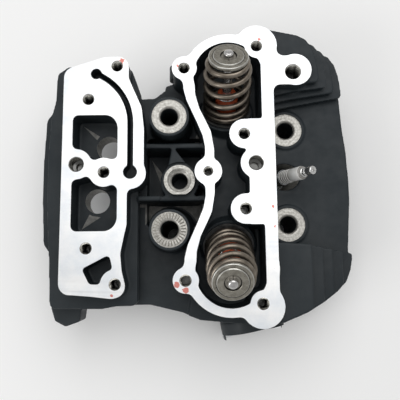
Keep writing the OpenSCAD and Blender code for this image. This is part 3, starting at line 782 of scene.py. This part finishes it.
def machine(body, mats):
    """Cuts the flat faces first, then the holes and seats."""
    reach, thick = 0.2, 0.03
    flats = [
        box_object("mill", (-reach, -reach, DECK_Z), (reach, reach, DECK_Z + thick)),
        box_object("mill", (-reach, -reach, -thick), (reach, reach, 0)),
    ]
    flats += [flange_mill(*flange) for flange in FLANGES]
    for tool in flats:
        cut(body, painted(tool, mats["deck"]))

    holes = []
    for place, r, depth in tapped_holes():
        threads = int((depth - 4) / THREAD_PITCH)
        tool = threaded_cutter(upright(*place), r, depth, r + 1, threads)
        holes.append(painted(tool, mats["thread"]))
    for name in OIL_HOLES:
        place = MOUNTS[name]["pos_m"]
        r = MOUNTS[name]["dims"]["r_mm"]
        profile = [(0, 3), (r + 0.4, 3), (r + 0.4, 0), (r, -0.4), (r, -12), (r - 2, -12.6),
                   (r - 2, -18), (0, -18.5)]
        tool = turned_cutter(upright(place[0], place[1], DECK_Z), profile)
        holes.append(painted(tool, mats["thread"]))
    for name, low, up in BOLT_SEATS:
        r = MOUNTS[name]["dims"]["hole_r_mm"]
        for place in pattern_places(name):
            tool = turned_cutter(upright(place.x, place.y), [
                (0, low + up), (12.75, low + up), (12.75, low), (11.9, low), (11.7, low), (8.3, low),
                (8.1, low), (r + 0.9, low - 0.2), (r + 0.3, low - 0.7), (r, low - 1.6),
                (0, low - 1.6)], 192)
            if name == "inner_head_bolts" and place.y < 0:
                serrate(tool.data, place, low)
            holes.append(painted(tool, mats["seat"]))
    boss = upright(*MOUNTS["valley_boss"]["pos_m"][:2])
    above = BOSS_FACE_Z + 4
    profile = [(11.3, BOSS_STEP_Z), (14.6, BOSS_STEP_Z), (14.6, above), (11.3, above)]
    holes.append(painted(lathe("step", profile, boss, None, radius=0), mats["coat"]))
    holes.append(painted(bar(boss, BOSS_BORE_R, 48, BOSS_STEP_Z + 1), mats["coat"]))
    for name in PASSAGES:
        place = MOUNTS[name]["pos_m"]
        profile = [(0, 67.5), (9.2, 67.5), (9.2, 47), (0, 47)]
        tool = turned_cutter(upright(place[0], place[1]), profile)
        holes.append(painted(tool, mats["seat"]))
    cut(body, joined("tools", holes))

    bores = []
    for name, low, up in BOLT_SEATS:
        r = MOUNTS[name]["dims"]["hole_r_mm"]
        for place in pattern_places(name):
            bores.append(painted(bar(upright(place.x, place.y), r, -2, low - 1.5), mats["coat"]))
    profile = [(0, above), (12, above), (12, BOSS_FACE_Z), (8.8, BOSS_FACE_Z), (8.8, 77.6),
               (7.6, 76.8), (7.6, 75.6), (6.9, 75.4), (BOSS_BORE_R, 74.6),
               (BOSS_BORE_R, BOSS_STEP_Z - 1), (0, BOSS_STEP_Z - 1)]
    bores.append(painted(turned_cutter(boss, profile), mats["seat"]))
    cut(body, joined("tools", bores))
    flat = box_object("flat", (-0.0145, -0.0154, 0.072), (0.0145, -0.0104, 0.086))
    flat.data.transform(boss)
    cut(body, painted(flat, mats["coat"]))
    plug_well = turned_cutter(PLUG_FRAME, [(0, 34), (10.4, 34), (10.4, 0), (7, 0), (7, -25), (0, -25)])
    cut(body, painted(plug_well, mats["seat"]))


def recolour(mesh, mats):
    """Gives thinly coated floors, core marks and the bare chamber their own finish."""
    slots = {m: i for i, m in enumerate(mesh.materials)}
    for name in ("floor", "chamber"):
        if mats[name] not in slots:
            mesh.materials.append(mats[name])
            slots[mats[name]] = len(mesh.materials) - 1
    coat = slots[mats["coat"]]
    for face in mesh.polygons:
        if face.material_index != coat:
            continue
        spot = face.center
        if (spot - CHAMBER_CENTRE).length < CHAMBER_R + 0.8 * MM and spot.z < 0.026:
            face.material_index = slots[mats["chamber"]]
        elif 0.042 < spot.z < 0.058 and face.normal.z > 0.6 and bare_floor(spot):
            face.material_index = slots[mats["floor"]]
        elif 0.064 < spot.z < 0.068 and any(
                (Vector(centre) * MM - spot.to_2d()).length < r * MM for centre, r in CORE_MARKS):
            face.material_index = slots[mats["floor"]]


def bare_floor(spot):
    """True on the corners with a thin coat, but not on the feet of the bolt bosses."""
    x, y = spot.x / MM, spot.y / MM
    inside = any(a[0] < x < b[0] and a[1] < y < b[1] for a, b in THIN_COAT)
    feet = pattern_places("inner_head_bolts")
    return inside and all((spot - foot).to_2d().length > 21 * MM for foot in feet)


def casting(mats):
    """The head casting, cast first and machined afterwards."""
    body = rough_casting()
    body.data.materials.append(mats["coat"])
    machine(body, mats)
    recolour(body.data, mats)
    shade(body.data, 32)
    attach(body, TOP_BODY)
    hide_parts("head_casting")
    return body


# ---------- valve gear ----------

# Beehive spring in millimetres: wire and coil radii, then turns and fitted height.
SPRING = {"wire": 2.1, "outer": 18.0, "top": 14.6, "turns": 6.3, "height": 48.6}
SPRING_START = {"intake": radians(-130), "exhaust": radians(160)}
# Heights along a valve's own axis, from the chamber sphere's centre.
SPRING_LOW = 106.9 + 1.5 + 0.05
SPRING_HIGH = SPRING_LOW + SPRING["height"]
RETAINER_Z = SPRING_HIGH + 0.05
PLATEAU_Z = RETAINER_Z + 3.2
KEEPER_LOW = RETAINER_Z - 4.6
KEEPER_HIGH = PLATEAU_Z - 1.2
TIP_Z = 163.0
HEAD_R = {"intake": 22.0, "exhaust": 19.5}

# Share of the spring's length reached at each share of its turns: closely wound at the foot.
SPRING_RISE = [(0, 0), (0.16, 0.098), (0.32, 0.226), (0.48, 0.432), (0.64, 0.66), (0.8, 0.875),
               (0.86, 0.925), (1, 1)]


def spring_heights(steps):
    """Turns and heights along the wire's centre line, with ground ends."""
    wire, turns, height = SPRING["wire"], SPRING["turns"], SPRING["height"]
    places = np.linspace(0, turns, round(steps * turns) + 1)
    share = np.interp(places / turns, *zip(*SPRING_RISE))
    window = np.hanning(steps // 2 * 2 + 1)
    padded = np.pad(share, steps // 2, mode="reflect", reflect_type="odd")
    share = np.convolve(padded, window / window.sum(), mode="valid")
    start = 0.4 * wire
    return places, start + np.clip(share, 0, 1) * (height - 2 * start)


def coil_spring(side, material):
    """Spring wound to a smaller radius over its last two turns."""
    wire, outer, top = SPRING["wire"], SPRING["outer"], SPRING["top"]
    steps, sides = 44, 18
    places, heights = spring_heights(steps)
    centre_r = outer - wire - (outer - top) * np.clip((places - SPRING["turns"] + 2) / 2, 0, 1) ** 1.5
    place = valve_frame(side)
    verts = []
    for turn, z, r in zip(places, heights, centre_r):
        angle = 2 * pi * turn + SPRING_START[side]
        for k in range(sides):
            around = 2 * pi * k / sides
            out = r + wire * cos(around)
            up = min(max(z + wire * sin(around), 0), SPRING["height"])
            verts.append(place @ (Vector((out * cos(angle), out * sin(angle), SPRING_LOW + up)) * MM))
    faces = grid_faces(len(places), sides)
    last = (len(places) - 1) * sides
    faces.append(tuple(range(sides)))
    faces.append(tuple(range(last + sides - 1, last - 1, -1)))
    obj = new_object(side + "_coil", verts, faces, material, 50)
    merge(obj.data)
    shade(obj.data, 50)
    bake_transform(obj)
    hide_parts(side + "_spring")
    return obj


def retainer(side, material):
    """Cap that holds the spring, with a raised plateau round its tapered bore."""
    z = RETAINER_Z
    profile = [(4.86, KEEPER_LOW - 0.5), (8.2, KEEPER_LOW - 0.5), (8.2, z - 2.6), (9.9, z - 2.2),
               (9.9, z), (14.25, z), (14.25, z + 1.9), (13.7, z + 2.5), (11.4, z + 2.5),
               (11.2, z + 2.35), (10.6, PLATEAU_Z), (6.2, PLATEAU_Z), (5.8, PLATEAU_Z - 0.5),
               (5.77, KEEPER_HIGH)]
    obj = lathe(side + "_cap", profile, valve_frame(side), material, radius=0.3, segments=128)
    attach(obj, side + "_valve_train")
    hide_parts(side + "_retainer")
    return obj


def keeper(side, half, material):
    """Half of the split cone that locks the retainer to the stem."""
    profile = rounded([Vector(p) for p in
                       [(3.53, KEEPER_LOW), (4.88, KEEPER_LOW), (5.65, KEEPER_HIGH - 0.6),
                        (5.65, KEEPER_HIGH), (3.53, KEEPER_HIGH), (3.53, TIP_Z - 6.5),
                        (3.05, TIP_Z - 7), (3.05, TIP_Z - 8.1), (3.53, TIP_Z - 8.7)]],
                      0.15, True, 2)
    place = valve_frame(side)
    segments = 40
    slit = radians(4)
    start = -pi / 2 + slit if half > 0 else pi / 2 + slit
    verts, rings = [], []
    for i in range(segments + 1):
        angle = start + (pi - 2 * slit) * i / segments
        for point in profile:
            verts.append(place @ (Vector((point.x * cos(angle), point.x * sin(angle), point.y)) * MM))
            rings.append(point.x)
    count = len(profile)
    faces = grid_faces(segments + 1, count)
    faces.append(tuple(range(count)))
    faces.append(tuple(range(segments * count + count - 1, segments * count - 1, -1)))
    name = "right" if half > 0 else "left"
    obj = new_object(f"{side}_collet_{name}", verts, faces, material, 40)
    store(obj.data, "ring", rings)
    merge(obj.data)
    shade(obj.data, 40)
    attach(obj, side + "_valve_train")
    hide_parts(f"{side}_keeper_{name}")
    return obj


def stem_seal(side, material):
    """Rubber seal pushed over the top of the guide."""
    top = 121.0
    profile = [(7.02, top - 9), (8.4, top - 9), (8.4, top - 5), (8.0, top - 4.6), (8.0, top - 3.4),
               (8.4, top - 3), (8.4, top), (7.4, top + 1.5), (6.2, top + 2.2), (6.2, top + 3.6),
               (7.0, top + 5), (3.56, top + 5), (3.56, top + 0.05), (7.02, top + 0.05)]
    obj = lathe(side + "_seal", profile, valve_frame(side), material, radius=0.4)
    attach(obj, TOP_BODY)
    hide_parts(side + "_stem_seal")
    return obj


def valve(side, material):
    """Valve with a turned stem, a keeper groove and a dished head."""
    head_r = HEAD_R[side]
    face = sqrt((CHAMBER_R / MM) ** 2 - head_r ** 2) + 0.7
    rim = face + 1.4
    neck = rim + 2.4
    profile = [(0, face + 0.5), (head_r * 0.42, face + 0.5), (head_r * 0.5, face), (head_r, face),
               (head_r, rim), (head_r - 2.4, neck), (head_r - 8, neck + 2), (10.4, neck + 3.9),
               (8, neck + 6), (6.2, neck + 8.5), (5, neck + 11), (4, neck + 15),
               (3.5, neck + 19), (3.5, TIP_Z - 8.8), (3, TIP_Z - 8.3), (3, TIP_Z - 6.9),
               (3.5, TIP_Z - 6.4), (3.5, TIP_Z - 0.9), (2.6, TIP_Z), (0, TIP_Z)]
    obj = lathe(side + "_poppet", profile, valve_frame(side), material, radius=0.5, closed=False)
    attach(obj, side + "_valve_train")
    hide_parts(side + "_valve")
    return obj


# ---------- spark plug ----------

def plug(mats):
    """The spark plug's shell, insulator, terminal and sealing ring."""
    reach = 19.0
    teeth = []
    z = -reach
    while z < -1.2:
        teeth += [(6.3, z), (6.9, z + 0.45), (6.9, z + 0.6), (6.3, z + 1.05)]
        z += 1.25
    outer = [(6.9, 0.4), (6.9, 1.7), (9.4, 1.7), (9.4, 5.6), (8.8, 6.2), (7.7, 6.2), (7.7, 16.2),
             (7.2, 16.8), (6.3, 17), (6.3, 24.2), (5.9, 24.6)]
    inner = [(5.2, 24.6), (5.2, 0.1), (4.6, -0.1)]
    core = lathe("plug_body", [(4.6, -reach)] + teeth + outer + inner, PLUG_FRAME, mats["shell"],
                 radius=0.2)
    hexagon = hex_collar(15.9, 6.0, 15.0, 7.6, mats["shell"])
    strap = ground_strap(mats["shell"], reach)
    shell = joined("plug_metal_body", [core, hexagon, strap])
    shell.data.materials.clear()
    shell.data.materials.append(mats["shell"])
    shade(shell.data, 35)
    finish_static(shell, "plug_shell")

    ribs = []
    for i in range(5):
        base = 25 + i * 2.2
        ribs += [(5.1, base), (4.5, base + 0.55), (4.5, base + 1.1), (5.1, base + 1.65)]
    profile = [(1.35, -16.5), (2.3, -16.5), (4.1, 0), (5.1, 1.5), (5.1, 24)]
    profile += ribs + [(5.1, 45.6), (4.4, 47.2), (2.05, 47.2), (2.05, 30), (1.35, 30)]
    ceramic = lathe("plug_ceramic", profile, PLUG_FRAME, mats["ceramic"], radius=0.3)
    finish_static(ceramic, "plug_insulator")

    nut = [(0, 31), (2, 31), (2, 47.3), (3.5, 47.3), (3.5, 48), (2.7, 48.4), (2.7, 49.8),
           (2, 50.6), (2, 51.8), (3.15, 52.6), (3.15, 57.6), (2.6, 58.2), (1.2, 58.2), (1.2, 56.4),
           (0, 56.4)]
    terminal = lathe("plug_nut", nut, PLUG_FRAME, mats["plated"], radius=0.2, closed=False)
    finish_static(terminal, "plug_terminal")

    ring = [(7.2, 0), (9.4, 0), (9.4, 1.6), (7.2, 1.6)]
    washer = lathe("plug_washer", ring, PLUG_FRAME, mats["plated"], radius=0.5)
    finish_static(washer, "plug_gasket")


def finish_static(obj, node):
    """Fixes a piece to the head in place of a CAD node."""
    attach(obj, TOP_BODY)
    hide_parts(node)


def hex_collar(across, low, high, bore_r, material):
    """Hexagon with turned, rounded corners top and bottom, hollow inside."""
    corner = across / 2 / cos(pi / 6)
    flat = across / 2
    rows = [(bore_r, low), (flat + 0.25, low), (corner - 0.15, low + 0.7),
            (corner - 0.15, high - 0.7), (flat + 0.25, high), (bore_r, high)]
    verts = []
    count = 72
    for limit, z in rows:
        for k in range(count):
            angle = 2 * pi * k / count
            beside = (angle + pi / 6) % (pi / 3) - pi / 6
            r = min(flat / cos(beside), limit)
            verts.append(PLUG_FRAME @ (Vector((r * cos(angle), r * sin(angle), z)) * MM))
    faces = grid_faces(len(rows), count)
    last = (len(rows) - 1) * count
    for k in range(count):
        following = (k + 1) % count
        faces.append((last + k, last + following, following, k))
    obj = new_object("plug_hexagon", verts, faces, material, 25)
    merge(obj.data)
    store(obj.data, "ring", [flat] * len(obj.data.vertices))
    return obj


def ground_strap(material, reach):
    """Bent side electrode at the plug's chamber end."""
    path = [(0, 5.8, -reach + 1), (0, 5.9, -reach - 0.2), (0, 5.3, -reach - 1.0),
            (0, 3.6, -reach - 1.15), (0, 0.2, -reach - 1.15)]
    half_w, half_t = 1.25, 0.55
    verts = []
    for i, point in enumerate(path):
        before = Vector(path[max(i - 1, 0)])
        after = Vector(path[min(i + 1, len(path) - 1)])
        along = (after - before).normalized()
        normal = along.cross(Vector((1, 0, 0)))
        for sx, sn in ((-1, -1), (1, -1), (1, 1), (-1, 1)):
            spot = Vector(point) + Vector((sx * half_w, 0, 0)) + normal * sn * half_t
            verts.append(PLUG_FRAME @ (spot * MM))
    faces = grid_faces(len(path), 4)
    faces.append((0, 1, 2, 3))
    last = (len(path) - 1) * 4
    faces.append((last + 3, last + 2, last + 1, last))
    obj = new_object("plug_strap", verts, faces, material, 30)
    merge(obj.data)
    store(obj.data, "ring", [half_w] * len(obj.data.vertices))
    return obj


# ---------- pieces kept from the CAD model ----------

def dress(name, material):
    """Gives a CAD node its material and a small edge radius."""
    obj = frame["nodes"][name]
    obj.data.materials.clear()
    obj.data.materials.append(material)
    bevel = obj.modifiers.new("edge", "BEVEL")
    bevel.width = 0.2 * MM
    bevel.segments = 2
    bevel.limit_method = "ANGLE"
    bevel.angle_limit = radians(40)
    bevel.harden_normals = True


# ---------- stage ----------

# Place in millimetres; the lens is for a sensor 36 mm wide.
CAMERA_PLACE = (-20.2, -66.3, 431.0)
CAMERA_TILT = radians(7.5)
CAMERA_ROLL = radians(0.65)
LENS = 44.1


def stage(floor_material):
    """Pale floor, soft even light and a plain view of the colours."""
    floor = new_object("floor", [(-3, -3, 0), (3, -3, 0), (3, 3, 0), (-3, 3, 0)], [(0, 1, 2, 3)],
                       floor_material)
    world = bpy.data.worlds.new("studio")
    world.use_nodes = True
    world.node_tree.nodes["Background"].inputs["Color"].default_value = (1, 1, 1, 1)
    world.node_tree.nodes["Background"].inputs["Strength"].default_value = 0.5
    bpy.context.scene.world = world
    area_light("overhead", (0.10, 0.40, 0.95), (0, 0, 0), 1.0, 5.2)
    area_light("side", (-0.9, -0.5, 0.7), (0, 0, 0.04), 0.6, 3.5)
    bpy.context.scene.view_settings.view_transform = "Standard"


def area_light(name, place, target, size, power):
    """Square soft light that faces a target."""
    light = bpy.data.lights.new(name, "AREA")
    light.size = size
    light.energy = power
    obj = bpy.data.objects.new(name, light)
    obj.matrix_world = frame_along(place, Vector(place) - Vector(target))
    bpy.context.scene.collection.objects.link(obj)


def camera():
    """Camera almost straight above the decks."""
    back = Vector((0, -sin(CAMERA_TILT), cos(CAMERA_TILT)))
    flat_up = Vector((0, cos(CAMERA_TILT), sin(CAMERA_TILT)))
    flat_right = Vector((1, 0, 0))
    right = flat_right * cos(CAMERA_ROLL) - flat_up * sin(CAMERA_ROLL)
    up = flat_right * sin(CAMERA_ROLL) + flat_up * cos(CAMERA_ROLL)
    data = bpy.data.cameras.new("camera")
    data.lens = LENS
    data.sensor_width = 36
    data.clip_start = 0.01
    obj = bpy.data.objects.new("camera", data)
    turn = Matrix((right, up, back)).transposed().to_4x4()
    obj.matrix_world = Matrix.Translation(Vector(CAMERA_PLACE) * MM) @ turn
    bpy.context.scene.collection.objects.link(obj)
    bpy.context.scene.camera = obj


# ---------- assembly ----------

def build():
    """The whole scene: camera, stage, materials and every piece."""
    camera()
    stage(studio_floor())
    mats = {
        "coat": coated_casting(), "floor": sandblasted_floor(), "deck": machined_deck(),
        "seat": turned_seat(), "thread": cut_thread(), "chamber": chamber_metal(),
        "spring": spring_steel(), "rubber": seal_rubber(), "ceramic": glazed_ceramic(),
        # Retainer and keeper bands: painted highlights on the rim and plateau edge, painted shade in the crease
        # and at the gap round the keeper.
        "retainer": turned_steel("retainer_steel", (0.25, 0.235, 0.2), (0.38, 0.36, 0.31), 0.3, 0.8,
                                 bands=((11.4, 0.35, 0.04), (10.75, 0.3, 0.62), (13.9, 0.35, 0.6),
                                        (5.85, 0.2, 0.08))),
        "keeper": turned_steel("keeper_steel", (0.24, 0.225, 0.19), (0.36, 0.34, 0.3), 0.34, 0.5,
                               bands=((5.5, 0.35, 0.04),)),
        "valve": turned_steel("valve_steel", (0.5, 0.49, 0.48), (0.72, 0.71, 0.7), 0.22, 0.35),
        # Painted reflection: the shell's dark colour stands in for the dark surroundings that its plating
        # reflects.
        "shell": turned_steel("shell_steel", (0.20, 0.21, 0.215), (0.34, 0.35, 0.355), 0.2, 0.4),
        "plated": turned_steel("plated_steel", (0.55, 0.55, 0.54), (0.78, 0.78, 0.77), 0.2, 0.4),
        "alloy": plain_metal("seat_alloy", (0.4, 0.39, 0.37), (0.58, 0.57, 0.55), 0.3),
        "bronze": plain_metal("guide_bronze", (0.42, 0.29, 0.14), (0.6, 0.45, 0.24), 0.34),
        "dark": plain_metal("dark_steel", (0.14, 0.14, 0.14), (0.26, 0.26, 0.255), 0.42),
        "wire": plain_metal("bright_wire", (0.5, 0.5, 0.49), (0.7, 0.7, 0.69), 0.25),
    }
    casting(mats)
    for side in ("intake", "exhaust"):
        coil_spring(side, mats["spring"])
        retainer(side, mats["retainer"])
        for half in (-1, 1):
            keeper(side, half, mats["keeper"])
        stem_seal(side, mats["rubber"])
        valve(side, mats["valve"])
        dress(side + "_valve_seat", mats["alloy"])
        dress(side + "_valve_guide", mats["bronze"])
        dress(side + "_spring_seat", mats["dark"])
        dress(side + "_seal_spring", mats["wire"])
    plug(mats)
    dress("plug_electrode", mats["wire"])


build()
bpy.context.view_layer.update()
